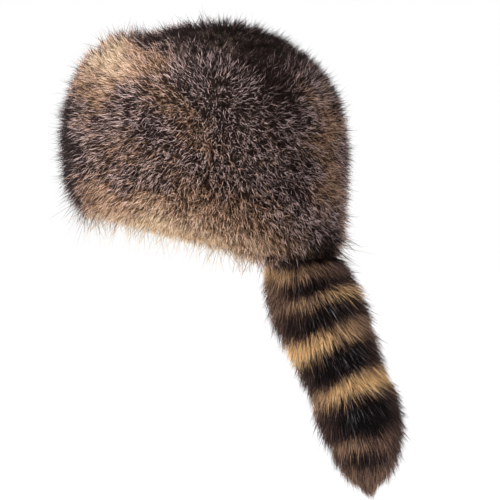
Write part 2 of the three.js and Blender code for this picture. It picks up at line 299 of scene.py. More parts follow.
def tailAxes(drop):
    step = 1e-3
    near = np.clip(drop, 2 * step, 1 - 2 * step)
    along = unit(tailMiddle(near + step) - tailMiddle(near - step))
    t = np.clip(near / tailForm["turnShare"], 0, 1)
    turned = (t * t * (3 - 2 * t))[..., None]
    along = unit(along * turned + np.array([0, 0, -1.0]) * (1 - turned))
    sideways = np.broadcast_to(np.array([1.0, 0, 0]), along.shape)
    return along, sideways, np.cross(sideways, along)


def roundTail(angle, drop, radius):
    angle, drop, radius = np.broadcast_arrays(angle, np.asarray(drop, float), radius)
    _, sideways, backwards = tailAxes(drop)
    aside = (radius * np.sin(angle))[..., None]
    ahead = (radius * np.cos(angle))[..., None]
    return tailMiddle(drop) + sideways * aside - backwards * ahead


def tailRadius(drop):
    return tailForm["width"] / 2 * smoothTable(tailLine, drop, 2)


def dockRadius(drop):
    share = np.clip(np.asarray(drop, float) / tailForm["dockEnd"], 0, 1)
    return tailForm["dockRoot"] + (tailForm["dockTip"] - tailForm["dockRoot"]) * share


def inScene(name, data):
    thing = bpy.data.objects.new(name, data)
    bpy.context.scene.collection.objects.link(thing)
    return thing


def meshObject(name, points, edges, faces, facts):
    mesh = bpy.data.meshes.new(name)
    mesh.from_pydata(points, edges, faces)
    for key, value in facts.items():
        value = np.asarray(value, np.float32)
        isVector = value.size == 3 * len(points)
        layer = mesh.attributes.new(key, "FLOAT_VECTOR" if isVector else "FLOAT", "POINT")
        layer.data.foreach_set("vector" if isVector else "value", value.ravel())
    return inScene(name, mesh)


def gridObject(name, rings, facts=None, loops=False, closedEnds=False):
    rings = np.asarray(rings)
    rows, columns = rings.shape[:2]
    points = rings.reshape(-1, 3)
    index = np.arange(rows * columns).reshape(rows, columns)
    lower = index if loops else index[:-1]
    upper = np.roll(index, -1, 0) if loops else index[1:]
    quads = np.stack([lower, np.roll(lower, -1, 1), np.roll(upper, -1, 1), upper], -1).reshape(-1, 4)
    faces = quads.tolist()
    if closedEnds:
        ends = [rings[0].mean(0), rings[-1].mean(0)]
        first, last = len(points), len(points) + 1
        points = np.concatenate([points, ends])
        faces += [(index[0, (i + 1) % columns], index[0, i], first) for i in range(columns)]
        faces += [(index[-1, i], index[-1, (i + 1) % columns], last) for i in range(columns)]
    thing = meshObject(name, points.tolist(), [], faces, facts or {})
    thing.data.polygons.foreach_set("use_smooth", [True] * len(faces))
    thing.data.update()
    return thing


# Places on the coat: angle, climb, how wide in degrees, how wide in climb, and the tone
# there from 0, black, over grizzled grey, brown and tan to 1, cream. A tone past 0 or 1 pulls what is
# round it along. The far side repeats them mirrored and moved by farShift degrees.
coatPlaces = [
    (51, 1.04, 13, 0.13, 1.25),
    (60, 0.94, 16, 0.1, 0.92),
    (75, 0.9, 10, 0.07, 0.86),
    (88, 1.02, 10, 0.07, 0.6),
    (58, 1.1, 20, 0.07, 0.8),
    (40, 0.84, 10, 0.1, 0.7),
    (57, 0.78, 9, 0.08, 0.72),
    (80, 0.79, 11, 0.06, 0.1),
    (60, 0.52, 11, 0.16, 0.4),
    (60, 0.22, 11, 0.12, 0.46),
    (36, 0.46, 18, 0.34, -0.3),
    (355.5, 0.52, 17, 0.26, 0.08),
    (79, 0.66, 10, 0.07, 0.24),
    (101, 0.62, 8, 0.06, 0.12),
    (51, 0.42, 10, 0.13, 0.0),
    (86, 0.46, 12, 0.1, 0.36),
    (104, 0.8, 8, 0.07, 0.3),
    (114, 0.92, 12, 0.09, 0.14),
    (105, 1.06, 11, 0.08, -0.1),
    (146, 0.97, 11, 0.12, -0.15),
    (130, 0.72, 12, 0.12, 0.2),
    (106, 0.75, 6, 0.05, 0.78),
    (117, 0.63, 5, 0.045, 0.66),
    (125, 0.51, 13, 0.09, 0.26),
    (114, 0.34, 12, 0.09, 0.42),
    (90, 0.34, 10, 0.07, 0.2),
    (134, 0.38, 10, 0.1, 0.28),
    (76, 0.13, 17, 0.1, 0.76),
    (114, 0.19, 16, 0.09, 0.84),
    (98, 0.0, 34, 0.1, 1.4),
    (128, 0.07, 13, 0.09, 0.88),
    (137, 0.2, 12, 0.09, 0.44),
    (160, 0.92, 9, 0.09, 0.12),
    (165, 0.84, 4, 0.04, 0.62),
    (180, 0.68, 9, 0.1, 0.56),
    (161, 0.6, 9, 0.14, 0.1),
    (178, 0.44, 10, 0.1, 0.52),
    (154, 0.42, 8, 0.1, 0.14),
    (154, 0.2, 9, 0.09, 0.3),
    (147, 0.05, 11, 0.08, 0.74),
    (182, 0.17, 11, 0.1, 0.2),
    (174, 0.02, 14, 0.09, -0.6),
    (0, 0.9, 18, 0.15, 0.5),
    (0, 0.05, 24, 0.1, 0.5),
    (60, 1.4, 34, 0.14, -0.15),
    (110, 1.16, 26, 0.1, 0.22),
    (120, 1.44, 40, 0.14, -0.15),
    (148, 1.14, 13, 0.14, -0.15),
    (176, 1.22, 36, 0.22, -0.1),
    (90, 1.75, 70, 0.3, -0.1),
    (0, 1.5, 40, 0.3, 0.34),
]
coatBase = {"tone": 0.28, "weight": 0.12, "waveAngle": 3.5, "waveClimb": 0.022, "farShift": 9}

# waves along the edges of the places: how fast they run with the angle and with the climb, and a start
angleWaves = [(3, 19, 0), (0, 31, 1)]
climbWaves = [(9, 0, 2), (17, 8, 0)]


def waves(table, angle, climb):
    return sum(np.sin(byAngle * angle + byClimb * climb + start) for byAngle, byClimb, start in table)


def nearness(degrees, climb, place, height, wide, tall):
    away = (degrees - place + 180) % 360 - 180
    return np.exp(-((away / wide) ** 2) - ((climb - height) / tall) ** 2)


def coatTone(angle, climb):
    degrees = np.degrees(angle) + coatBase["waveAngle"] * waves(angleWaves, angle, climb)
    climb = climb + coatBase["waveClimb"] * waves(climbWaves, angle, climb)
    total = np.full(np.broadcast(angle, climb).shape, coatBase["weight"] * coatBase["tone"])
    weight = np.full(total.shape, coatBase["weight"])
    for place, height, wide, tall, tone in coatPlaces:
        for centre in {place, (360 - place - coatBase["farShift"]) % 360}:
            w = nearness(degrees, climb, centre, height, wide, tall)
            total = total + w * tone
            weight = weight + w
    return total / weight


# The tail's tan rings on the dark fur: middle and half width as shares of the drop, tone from 0,
# black, to 1, tan, and the side where the ring is brightest, in degrees round the tail.
tanRings = [
    (0.056, 0.034, 0.84, 45),
    (0.19, 0.028, 1.0, 165),
    (0.362, 0.040, 1.1, 65),
    (0.576, 0.044, 1.2, 165),
    (0.79, 0.034, 0.66, 70),
]
ringBase = {
    "dark": -0.12, "flank": 0.42, "flankAt": 28, "end": 0.47, "endStart": 0.84, "endFull": 0.9,
    "edge": 0.03, "dim": 0.6, "fade": 0.7, "root": 0.7, "rootReach": 0.12,
}


def ringTone(turns, drop):
    fromFlank = np.cos(turns - math.radians(ringBase["flankAt"]))
    tone = ringBase["dark"] + ringBase["flank"] * fromFlank**2
    root = ringBase["root"] * np.exp(-((drop / ringBase["rootReach"]) ** 2))  # browner under the cap's fur
    tone = tone + root * ((1 + fromFlank) / 2) ** 2
    late = np.clip((drop - ringBase["endStart"]) / (ringBase["endFull"] - ringBase["endStart"]), 0, 1)
    tone = tone + (ringBase["end"] - tone) * late
    for middle, half, light, side in tanRings:
        inside = np.clip((half + ringBase["edge"] / 2 - np.abs(drop - middle)) / ringBase["edge"], 0, 1)
        away = ((1 - np.cos(turns - math.radians(side))) / 2) ** ringBase["fade"]
        tone = tone + (light * (1 - ringBase["dim"] * away) - tone) * inside
    return tone


hairForms = {
    "Guard Hair": {"radius": 0.022, "bend": 0.07, "waist": 0.5, "tip": 0.24, "height": 1.0},
    "Curved Hair": {"radius": 0.021, "bend": 0.11, "waist": 0.55, "tip": 0.42, "height": 1.0},
    "Wisp": {"radius": 0.024, "bend": 0.0, "waist": 0.0, "tip": 0.06, "height": 1.0},
    "Short Wisp": {"radius": 0.028, "bend": 0.0, "waist": 0.0, "tip": -0.1, "height": 0.82},
}
footStep = 0.03  # moves one corner of a wisp's foot along the map, so that the foot has an area there


def hairObject(name, form):
    points, along, across = [], [], []
    for side in range(3):
        turn = turnOnce * (side / 3 + 1 / 12)
        points.append((form["radius"] * math.cos(turn) + form["bend"], form["radius"] * math.sin(turn),
                       form["waist"] * form["height"]))
        along.append(form["waist"] + (footStep if side == 1 and form["waist"] == 0 else 0))
        across.append((-1, 1, 0)[side])
    points.append((form["tip"], 0, form["height"] * math.sqrt(1 - form["tip"] ** 2)))
    along.append(1.0)
    across.append(0.0)
    faces = [(side, (side + 1) % 3, 3) for side in range(3)]
    if form["waist"] > 0:
        points.append((0, 0, 0))
        along.append(0.0)
        across.append(0.0)
        faces += [((side + 1) % 3, side, 4) for side in range(3)]
    else:
        faces.append((2, 1, 0))
    return meshObject(name, points, [], faces, {"along": along, "across": across})


hairs = {name: hairObject(name, form) for name, form in hairForms.items()}

furInputs = {
    "Float": [
        "Density", "Length", "Length Spread", "Lean Spread", "Length Drift", "Drift Size", "Lock Size",
        "Lock Pull", "Tufts", "Tuft Pull", "Tuft Sway", "Pale Base", "Pale Slope", "Tuft Pale", "Frizz",
        "Patch Size", "Patch Tone", "Tone Spread", "Bent Share", "Thickness", "Long Share", "Long Extra",
        "Long Tone",
    ],
    "Int": ["Seed"],
    "Object": ["Guard Hair", "Curved Hair", "Wisp", "Short Wisp"],
    "Material": ["Finish"],
}

# on the map, dark hairs start at start, and pale ones paleShift further on
hairMap = {"start": 0.02, "toneWide": 0.46, "paleShift": 0.5, "sideStep": 0.0012, "long": 0.96,
           "grain": 260.0}
strand = {"tuftSeed": 50, "seedShift": 0.37, "twist": 0.35, "longSlim": 0.35, "wispSlim": 0.16,
          "wispTone": 0.3}


def newGroup(name, inputs):
    group = bpy.data.node_groups.new(name, "GeometryNodeTree")
    sockets = [(label, "INPUT", kind) for kind, labels in inputs.items() for label in labels]
    for label, way, kind in [("Geometry", "INPUT", "Geometry"), *sockets, ("Geometry", "OUTPUT", "Geometry")]:
        group.interface.new_socket(name=label, in_out=way, socket_type="NodeSocket" + kind)
    tree = Tree(group)
    return group, tree, tree.add("NodeGroupInput")


def furTree():
    group, tree, given = newGroup("plantHairs", furInputs)
    read, setting = tree.fact, given.also

    def chance(step, low=-1.0, high=1.0, kind="FLOAT", of=None):
        if kind == "FLOAT_VECTOR":
            low, high = (low,) * 3, (high,) * 3
        values = {"Min": low, "Max": high, "Seed": setting("Seed") + step}
        if of:
            values["ID"] = of
        return tree.add("FunctionNodeRandomValue", {"data_type": kind}, values)

    def drift(size, step):
        shift = setting("Seed") * strand["seedShift"] + step
        return tree.add("ShaderNodeTexNoise", {"noise_dimensions": "4D"},
                        {"Scale": 1.0 / size, "W": shift, "Detail": 1.0})

    def scatter(density, seed):
        return tree.add("GeometryNodeDistributePointsOnFaces", {"distribute_method": "RANDOM"},
                        {"Mesh": setting("Geometry"), "Density": density, "Seed": seed})

    points = scatter(setting("Density") * read("cover"), setting("Seed"))
    tufts = scatter(setting("Tufts"), setting("Seed") + strand["tuftSeed"])
    tuft = tree.add("GeometryNodeSampleNearest", {"domain": "POINT"}, {"Geometry": tufts})
    spot = tree.add("GeometryNodeInputPosition")
    tuftSpot = tree.add("GeometryNodeSampleIndex", {"data_type": "FLOAT_VECTOR", "domain": "POINT"},
                        {"Geometry": tufts, "Value": spot, "Index": tuft})
    lay, facing = read("lay", "FLOAT_VECTOR"), read("facing", "FLOAT_VECTOR")
    lean = read("lean") + chance(1) * setting("Lean Spread")
    lock = drift(setting("Lock Size"), 0.0).also("Color") - 0.5
    sway = chance(8, kind="FLOAT_VECTOR", of=tuft)
    frizz = chance(2, kind="FLOAT_VECTOR")
    gather = (tuftSpot - spot) * (setting("Tuft Pull") / setting("Length"))
    heading = (facing * lean.calc("COSINE") + lay * lean.calc("SINE") + lock * setting("Lock Pull")
               + gather + sway * setting("Tuft Sway") + frizz * setting("Frizz"))
    turned = tree.add("FunctionNodeAxesToRotation", {"primary_axis": "Z", "secondary_axis": "X"},
                      {0: heading, 1: lay + frizz * strand["twist"]})
    isLong = chance(10, 0.0, 1.0).calc("LESS_THAN", setting("Long Share"))
    size = setting("Length") * read("reach") * (1 + chance(3) * setting("Length Spread"))
    size = size * (1 + isLong * (setting("Long Extra") + read("wisp")))
    size = size * (1 + (drift(setting("Drift Size"), 6.0).also("Fac") - 0.5) * setting("Length Drift"))
    thinner = strand["longSlim"] + read("wisp") * strand["wispSlim"]
    slim = size * setting("Thickness") * (1 - isLong * thinner)
    scale = tree.add("ShaderNodeCombineXYZ", {}, {"X": slim, "Y": slim, "Z": size})
    patch = drift(setting("Patch Size"), 9.0).also("Fac") - 0.5
    drifting = drift(setting("Lock Size"), 3.0).also("Fac") - 0.5
    tone = (read("tone") + (patch + drifting) * setting("Patch Tone") + chance(4) * setting("Tone Spread")
            + isLong * (setting("Long Tone") + read("wisp") * strand["wispTone"]))
    tone = tone.calc("MAXIMUM", 0.0).calc("MINIMUM", 1.0)
    paleShare = (setting("Pale Base") + tone.calc("SQRT") * setting("Pale Slope")
                 + patch * setting("Patch Tone") + chance(9, of=tuft) * setting("Tuft Pale"))
    isPale = chance(5, 0.0, 1.0).calc("LESS_THAN", paleShare)
    tone = hairMap["start"] + tone * hairMap["toneWide"] + isPale * hairMap["paleShift"]
    points = tree.add("GeometryNodeStoreNamedAttribute", {"data_type": "FLOAT", "domain": "POINT"},
                      {"Geometry": points, "Name": "strandTone", "Value": tone})
    straight = chance(6, 0.0, 1.0).calc("GREATER_THAN", setting("Bent Share"))
    pick = straight * 2 + chance(7, 0.0, 1.0).calc("GREATER_THAN", 0.5)
    joined = group.nodes.new("GeometryNodeJoinGeometry")
    for name in ("Short Wisp", "Wisp", "Curved Hair", "Guard Hair"):
        one = tree.add("GeometryNodeObjectInfo", {"transform_space": "ORIGINAL"},
                       {"Object": setting(name), "As Instance": True}).also("Geometry")
        group.links.new(one.socket, joined.inputs[0])
    placed = tree.add("GeometryNodeInstanceOnPoints", {},
                      {"Points": points, "Instance": Wire(tree, joined.outputs[0]), "Pick Instance": True,
                       "Instance Index": pick, "Rotation": turned, "Scale": scale})
    grown = tree.add("GeometryNodeRealizeInstances", {}, {"Geometry": placed})
    u = read("strandTone") + read("across") * hairMap["sideStep"]
    v = read("along") * hairMap["long"] + hairMap["start"]
    place = tree.add("ShaderNodeCombineXYZ", {}, {"X": u, "Y": v})
    mapped = tree.add("GeometryNodeStoreNamedAttribute", {"data_type": "FLOAT2", "domain": "CORNER"},
                      {"Geometry": grown, "Name": "OFBake", "Value": place})
    for name in ("strandTone", "along", "across"):
        mapped = tree.add("GeometryNodeRemoveAttribute", {}, {"Geometry": mapped, "Name": name})
    soft = tree.add("GeometryNodeSetShadeSmooth", {}, {"Geometry": mapped})
    dyed = tree.add("GeometryNodeSetMaterial", {}, {"Geometry": soft, "Material": setting("Finish")})
    tree.add("NodeGroupOutput", {}, {"Geometry": dyed})
    return group


plantHairs = furTree()


def modified(thing, group, settings, name):
    modifier = thing.modifiers.new(group.name, "NODES")
    modifier.node_group = group
    for item in group.interface.items_tree:
        if item.in_out == "INPUT" and item.name in settings:
            modifier[item.identifier] = settings[item.name]
    graph = bpy.context.evaluated_depsgraph_get()
    mesh = bpy.data.meshes.new_from_object(thing.evaluated_get(graph), depsgraph=graph)
    thing.modifiers.remove(modifier)
    mesh.name = name
    return inScene(name, mesh)


def growFur(name, roots, finish, seed, settings):
    grown = modified(roots, plantHairs, {**settings, **hairs, "Seed": seed, "Finish": finish}, name)
    triangles = sum(len(p.vertices) - 2 for p in grown.data.polygons)
    print(f"{name}: {triangles} triangles, maps {[m.name for m in grown.data.uv_layers]}")
    return grown


def smoothStep(value, low, high):
    return value.tree.add("ShaderNodeMapRange", {"interpolation_type": "SMOOTHSTEP"},
                          {"Value": value, "From Min": low, "From Max": high})


def blendColours(tree, share, a, b):
    return tree.add("ShaderNodeMix", {"data_type": "RGBA"}, {"Factor": share, "A": a, "B": b})


def hairFinish(name, look):
    material, tree, shader = newMaterial(name)
    spot = tree.add("ShaderNodeUVMap", {"uv_map": "OFBake"})
    split = tree.add("ShaderNodeSeparateXYZ", {}, {"Vector": spot})
    u, v = split.also("X"), split.also("Y")

    # dark hairs lie on the left half of the map, pale ones on the right
    def across(part):
        stops = [(hairMap["start"] + shift + hairMap["toneWide"] * tone, colour)
                 for shift, kind in ((0.0, "dark"), (hairMap["paleShift"], "pale"))
                 for tone, colour in zip(look["tones"], look[kind][part])]
        return tree.add("ShaderNodeValToRGB", {"stops": stops}, {"Fac": u})

    wobble = tree.add("ShaderNodeTexNoise", {"noise_dimensions": "1D"}, {"W": u, "Scale": hairMap["grain"]})
    shift = (wobble - 0.5) * look["bandShift"]
    # below toBand each hair keeps its root colour: partly the hair's own dark base, partly painted shade deep
    # in the coat
    toBand = smoothStep(v + shift, *look["toBand"])
    toTip = smoothStep(v + shift, *look["toTip"])
    colour = blendColours(tree, toBand, across("root"), across("band"))
    colour = blendColours(tree, toTip, colour, across("tip"))
    feed(tree, shader, "Base Color", colour)
    feed(tree, shader, "Roughness", look["roughness"])
    feed(tree, shader, "Specular IOR Level", look["specular"])
    return material


# tones run from black over grizzled grey, brown and tan to cream
coatFinish = hairFinish("grizzledFur", {
    "tones": (0.0, 0.25, 0.43, 0.75, 1.0),
    "dark": {
        "root": [(0.010, 0.005, 0.004), (0.016, 0.008, 0.007), (0.034, 0.016, 0.010), (0.08, 0.040, 0.021),
                 (0.22, 0.13, 0.07)],
        "band": [(0.016, 0.007, 0.006), (0.038, 0.020, 0.018), (0.09, 0.044, 0.026), (0.18, 0.10, 0.066),
                 (0.36, 0.23, 0.15)],
        "tip": [(0.014, 0.007, 0.006), (0.025, 0.013, 0.012), (0.050, 0.025, 0.017), (0.12, 0.062, 0.036),
                (0.24, 0.15, 0.085)],
    },
    "pale": {
        "root": [(0.030, 0.018, 0.016), (0.045, 0.026, 0.022), (0.10, 0.052, 0.030), (0.30, 0.17, 0.085),
                 (0.60, 0.41, 0.23)],
        "band": [(0.24, 0.15, 0.125), (0.96, 0.72, 0.69), (0.66, 0.39, 0.235), (0.92, 0.62, 0.46),
                 (0.97, 0.79, 0.58)],
        "tip": [(0.05, 0.034, 0.032), (0.31, 0.22, 0.215), (0.25, 0.145, 0.095), (0.54, 0.35, 0.23),
                (0.92, 0.73, 0.50)],
    },
    # the root colour runs up to here: partly the hairs' own dark bases, partly painted shade deep in the coat
    "toBand": (0.56, 0.72),
    "toTip": (0.85, 0.95),
    "bandShift": 0.22,
    "roughness": 0.6,
    "specular": 0.12,
})

tailFinish = hairFinish("ringedFur", {
    "tones": (0.0, 0.06, 0.35, 0.65, 1.0),
    "dark": {
        "root": [(0.003, 0.002, 0.002), (0.003, 0.002, 0.002), (0.014, 0.008, 0.007), (0.05, 0.026, 0.017),
                 (0.17, 0.09, 0.038)],
        "band": [(0.005, 0.003, 0.003), (0.007, 0.004, 0.004), (0.032, 0.017, 0.014), (0.11, 0.058, 0.036),
                 (0.34, 0.185, 0.08)],
        "tip": [(0.008, 0.005, 0.005), (0.009, 0.006, 0.006), (0.036, 0.020, 0.019), (0.10, 0.058, 0.044),
                (0.20, 0.12, 0.06)],
    },
    # at tone 0, in the black rings, the pale hairs are bluish white: painted glints, highlights on the black
    # hair painted into its colour
    "pale": {
        "root": [(0.014, 0.010, 0.010), (0.012, 0.007, 0.006), (0.040, 0.022, 0.018), (0.15, 0.082, 0.05),
                 (0.48, 0.29, 0.13)],
        "band": [(0.26, 0.235, 0.255), (0.04, 0.025, 0.023), (0.15, 0.084, 0.070), (0.46, 0.28, 0.18),
                 (1.0, 0.66, 0.32)],
        "tip": [(0.16, 0.14, 0.155), (0.04, 0.027, 0.026), (0.13, 0.078, 0.07), (0.36, 0.22, 0.15),
                (0.92, 0.62, 0.32)],
    },
    "toBand": (0.2, 0.5),
    "toTip": (0.82, 0.97),
    "bandShift": 0.12,
    "roughness": 0.5,
    "specular": 0.1,
})


def nappedFinish(name, look):
    material, tree, shader = newMaterial(name)
    spot = tree.add("ShaderNodeTexCoord").also("Object")

    def grain(key):
        scale, detail = look[key]
        return tree.add("ShaderNodeTexNoise", {}, {"Vector": spot, "Scale": scale, "Detail": detail})

    fine = grain("fine")
    mixed = fine
    if "broad" in look:
        mixed = grain("broad") * look["broadShare"] + fine * (1 - look["broadShare"])
    share = smoothStep(mixed, *look["mix"])
    colour = blendColours(tree, share, (*look["deep"], 1), (*look["light"], 1))
    # near the hem the colour turns to hem: partly the hem fur's own tan, partly painted glow of light shining
    # through the thin hem fur
    if "hem" in look:
        split = tree.add("ShaderNodeSeparateXYZ", {}, {"Vector": spot})
        overHem = split.also("Z") + split.also("Y") * math.tan(cap["hemTilt"])
        colour = blendColours(tree, smoothStep(overHem, *look["hemBand"]), (*look["hem"], 1), colour)
    strength, distance = look["bump"]
    bump = tree.add("ShaderNodeBump", {}, {"Strength": strength, "Distance": distance, "Height": fine})
    feed(tree, shader, "Base Color", colour)
    feed(tree, shader, "Normal", bump)
    feed(tree, shader, "Roughness", look["roughness"])
    feed(tree, shader, "Specular IOR Level", look["specular"])
    return material


# broad and fine grain as scale and detail, the bump as strength and distance
woolLook = {
    "broad": (60.0, 3.0), "broadShare": 0.45, "fine": (420.0, 2.0), "mix": (0.38, 0.62),
    "bump": (1.0, 0.0012), "roughness": 0.95, "specular": 0.1,
}
# the underfur is dark: partly its own brown, partly painted shade for the gaps between the hairs
coatWoolWithShadeAndGlow = nappedFinish("underfurWithShadeAndGlow", {
    # hem: the hem fur's own tan together with painted glow of light through the thin hem fur
    **woolLook, "deep": (0.02, 0.015, 0.013), "light": (0.10, 0.07, 0.055), "hem": (0.46, 0.30, 0.18),
    "hemBand": (0.004, 0.018),
})
# darker still: painted shade in the gaps of the tail's fur, over the underfur's own dark brown
tailWoolWithShade = nappedFinish("tailUnderfur", {
    **woolLook, "deep": (0.008, 0.005, 0.005), "light": (0.05, 0.03, 0.02),
})
suede = nappedFinish("tannedSuede", {
    "broad": (22.0, 5.0), "broadShare": 0.8, "fine": (900.0, 3.0), "mix": (0.35, 0.68),
    "deep": (0.36, 0.25, 0.15), "light": (0.62, 0.48, 0.33), "bump": (0.5, 0.0004), "roughness": 0.88,
    "specular": 0.2,
})

view = {"azimuth": 118.0, "elevation": 4.0, "distance": 1.635, "lens": 135.0,
        "right": 0.040, "up": -0.021, "floor": -2.5}
a, e = math.radians(view["azimuth"]), math.radians(view["elevation"])
rightward = Vector((math.cos(a), math.sin(a), 0))
backward = Vector((math.sin(a) * math.cos(e), -math.cos(a) * math.cos(e), math.sin(e)))
upward = backward.cross(rightward)
aim = rightward * view["right"] + upward * view["up"]


def aimed(thing, place, forward):
    thing.location = place
    thing.rotation_mode = "QUATERNION"
    thing.rotation_quaternion = forward.to_track_quat("-Z", "Y")


lens = bpy.data.cameras.new("camera")
lens.lens = view["lens"]
camera = inScene("camera", lens)
aimed(camera, aim + backward * view["distance"], -backward)
bpy.context.scene.camera = camera
bpy.context.scene.view_settings.view_transform = "Standard"

studio = {
    "glow": (0.36, 0.36, 0.38, 1),
    "floor": {
        "Base Color": (0.95, 0.95, 0.95, 1),
        "Roughness": 0.9,
        "Emission Color": (1, 1, 1, 1),
        "Emission Strength": 0.8,
    },
    "floorSides": 64,
    "floorRadius": 30,
}
world = bpy.data.worlds.new("studio")
world.use_nodes = True
sky = Tree(world.node_tree)
seen = sky.add("ShaderNodeLightPath").also("Is Camera Ray")
feed(sky, world.node_tree.nodes["Background"], "Color", blendColours(sky, seen, studio["glow"], (1, 1, 1, 1)))
bpy.context.scene.world = world

floorFinish, floorTree, floorShader = newMaterial("paleFloor")
for key, value in studio["floor"].items():
    feed(floorTree, floorShader, key, value)
bpy.ops.mesh.primitive_circle_add(vertices=studio["floorSides"], radius=studio["floorRadius"],
                                  fill_type="NGON", location=(0, 0, view["floor"]))
floor = bpy.context.object
floor.name = "floor"
floor.data.materials.append(floorFinish)

# name, place right, up and towards the camera from the cap, size, power
lamps = [
    ("key", (-1.0, 1.4, 1.2), 0.7, 46),
    ("fill", (1.4, 0.2, 1.4), 1.2, 8),
    ("low", (-1.2, -1.1, 1.2), 1.2, 20),
    ("rim", (0.6, 1.3, -1.3), 0.9, 14),
    ("far", (-1.4, 0.6, -1.2), 1.2, 9),
]
for name, (right, up, near), size, power in lamps:
    lamp = bpy.data.lights.new(name, "AREA")
    lamp.shape, lamp.size, lamp.energy = "DISK", size, power
    place = rightward * right + upward * up + backward * near
    aimed(inScene(name, lamp), place, -place)
print("camera, floor and lights are set")

skinGrid = {"around": 128, "bandRows": 20, "crownRows": 12, "crownEnd": 0.03, "crownCrowding": 1.2}
around = fullTurn(skinGrid["around"])


def peltRings(climbs, depth):
    return [offPelt(around, climb, depth) for climb in climbs]


bandClimbs = np.linspace(0.0, 1.0, skinGrid["bandRows"])
bandLeather = gridObject(
    "bandLeather",
    np.array(peltRings(bandClimbs, 0.0) + peltRings(bandClimbs[::-1], -cap["peltThickness"])),
    loops=True,
)
crownClimbs = np.linspace(1.0, skinGrid["crownEnd"], skinGrid["crownRows"])
crownClimbs = 2 - crownClimbs ** skinGrid["crownCrowding"]
crownLeather = gridObject(
    "crownLeather",
    np.array(peltRings(crownClimbs[::-1], -cap["peltThickness"]) + peltRings(crownClimbs, 0.0)),
    closedEnds=True,
)
for leather, node in ((bandLeather, "side_band"), (crownLeather, "crown_top")):
    leather.data.materials.append(suede)
    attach(leather, "root")
    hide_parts(node)

# the tongue in rows from its lower end: shares below and above the hem, and of the width
tongue = {"width": 0.028, "height": 0.026, "overlap": 0.004, "across": 12, "rounding": 0.0006}
tongueRows = [
    (1.0, 0.0, 0.3),
    (0.96, 0.0, 0.36),
    (0.6, 0.0, 0.44),
    (0.3, 0.0, 0.58),
    (0.0, 0.1, 0.8),
    (0.0, 0.28, 0.94),
    (0.0, 0.45, 1.0),
    (0.0, 0.68, 1.0),
    (0.0, 0.82, 0.97),
    (0.0, 0.92, 0.88),
    (0.0, 0.98, 0.72),
    (0.0, 1.0, 0.5),
]


def tonguePoint(below, above, share, depth):
    height = above * tongue["height"] - below * (tailForm["rootBelowHem"] + tongue["overlap"])
    climb = height / (cap["seamHeight"] - hemHeight(math.pi))
    halfTurn = share * tongue["width"] / cap["headLength"]
    return offPelt(math.pi + halfTurn, climb, depth)


tongueNear = -cap["peltThickness"] - tailForm["tabGap"]
tongueFar = tongueNear - tailForm["tabThickness"]
tongueRings = []
for below, above, share in tongueRows:
    spread = np.linspace(-1, 1, tongue["across"]) * share
    rim = np.array([-1.0, 1.0]) * (share + 2 * tongue["rounding"] / tongue["width"])
    middleDepth = (tongueNear + tongueFar) / 2
    near = tonguePoint(below, above, spread, tongueNear)
    far = tonguePoint(below, above, spread, tongueFar)
    rims = tonguePoint(below, above, rim, middleDepth)
    tongueRings.append(np.concatenate([near, rims[1:], far[::-1], rims[:1]]))
tongueLeather = gridObject("tongueLeather", np.array(tongueRings), closedEnds=True)
coreGrid = {"around": 24, "rows": 24}
coreTurns = fullTurn(coreGrid["around"])
coreDrops = np.linspace(tailForm["dockEnd"], 0, coreGrid["rows"])
coreRings = [roundTail(coreTurns, d, dockRadius(d)) for d in coreDrops]
coreLeather = gridObject("tailCore", np.array(coreRings), closedEnds=True)
for leather in (tongueLeather, coreLeather):
    leather.data.materials.append(suede)
    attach(leather, "root")
    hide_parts("tail_skin")
print("leather is made")

stitchInputs = {
    "Float": ["Spacing", "Size", "Slant", "Looseness"],
    "Int": ["Seed"],
    "Object": ["Stitch"],
    "Material": ["Finish"],
}
sizeChange = 0.4  # share of the looseness that goes into a stitch's size


def stitchTree():
    group, tree, given = newGroup("sewStitches", stitchInputs)
    path = tree.add("GeometryNodeMeshToCurve", {}, {"Mesh": given.also("Geometry")})
    path = tree.add("GeometryNodeResampleCurve", {"mode": "LENGTH"},
                    {"Curve": path, "Length": given.also("Spacing")})
    facing = tree.fact("facing", "FLOAT_VECTOR")
    onward = tree.add("GeometryNodeInputTangent")
    wobble = tree.add("FunctionNodeRandomValue", {"data_type": "FLOAT"},
                      {"Min": -1.0, "Max": 1.0, "Seed": given.also("Seed")})
    slant = given.also("Slant") + wobble * given.also("Looseness")
    sideways = facing.calc("CROSS_PRODUCT", onward)
    turned = tree.add("FunctionNodeAxesToRotation", {"primary_axis": "Z", "secondary_axis": "X"},
                      {0: facing, 1: onward * slant.calc("COSINE") + sideways * slant.calc("SINE")})
    size = given.also("Size") * (1 + wobble * given.also("Looseness") * sizeChange)
    one = tree.add("GeometryNodeObjectInfo", {"transform_space": "ORIGINAL"},
                   {"Object": given.also("Stitch"), "As Instance": True}).also("Geometry")
    sewn = tree.add("GeometryNodeInstanceOnPoints", {},
                    {"Points": path, "Instance": one, "Rotation": turned, "Scale": size})
    sewn = tree.add("GeometryNodeRealizeInstances", {}, {"Geometry": sewn})
    sewn = tree.add("GeometryNodeSetMaterial", {}, {"Geometry": sewn, "Material": given.also("Finish")})
    tree.add("NodeGroupOutput", {}, {"Geometry": sewn})
    return group


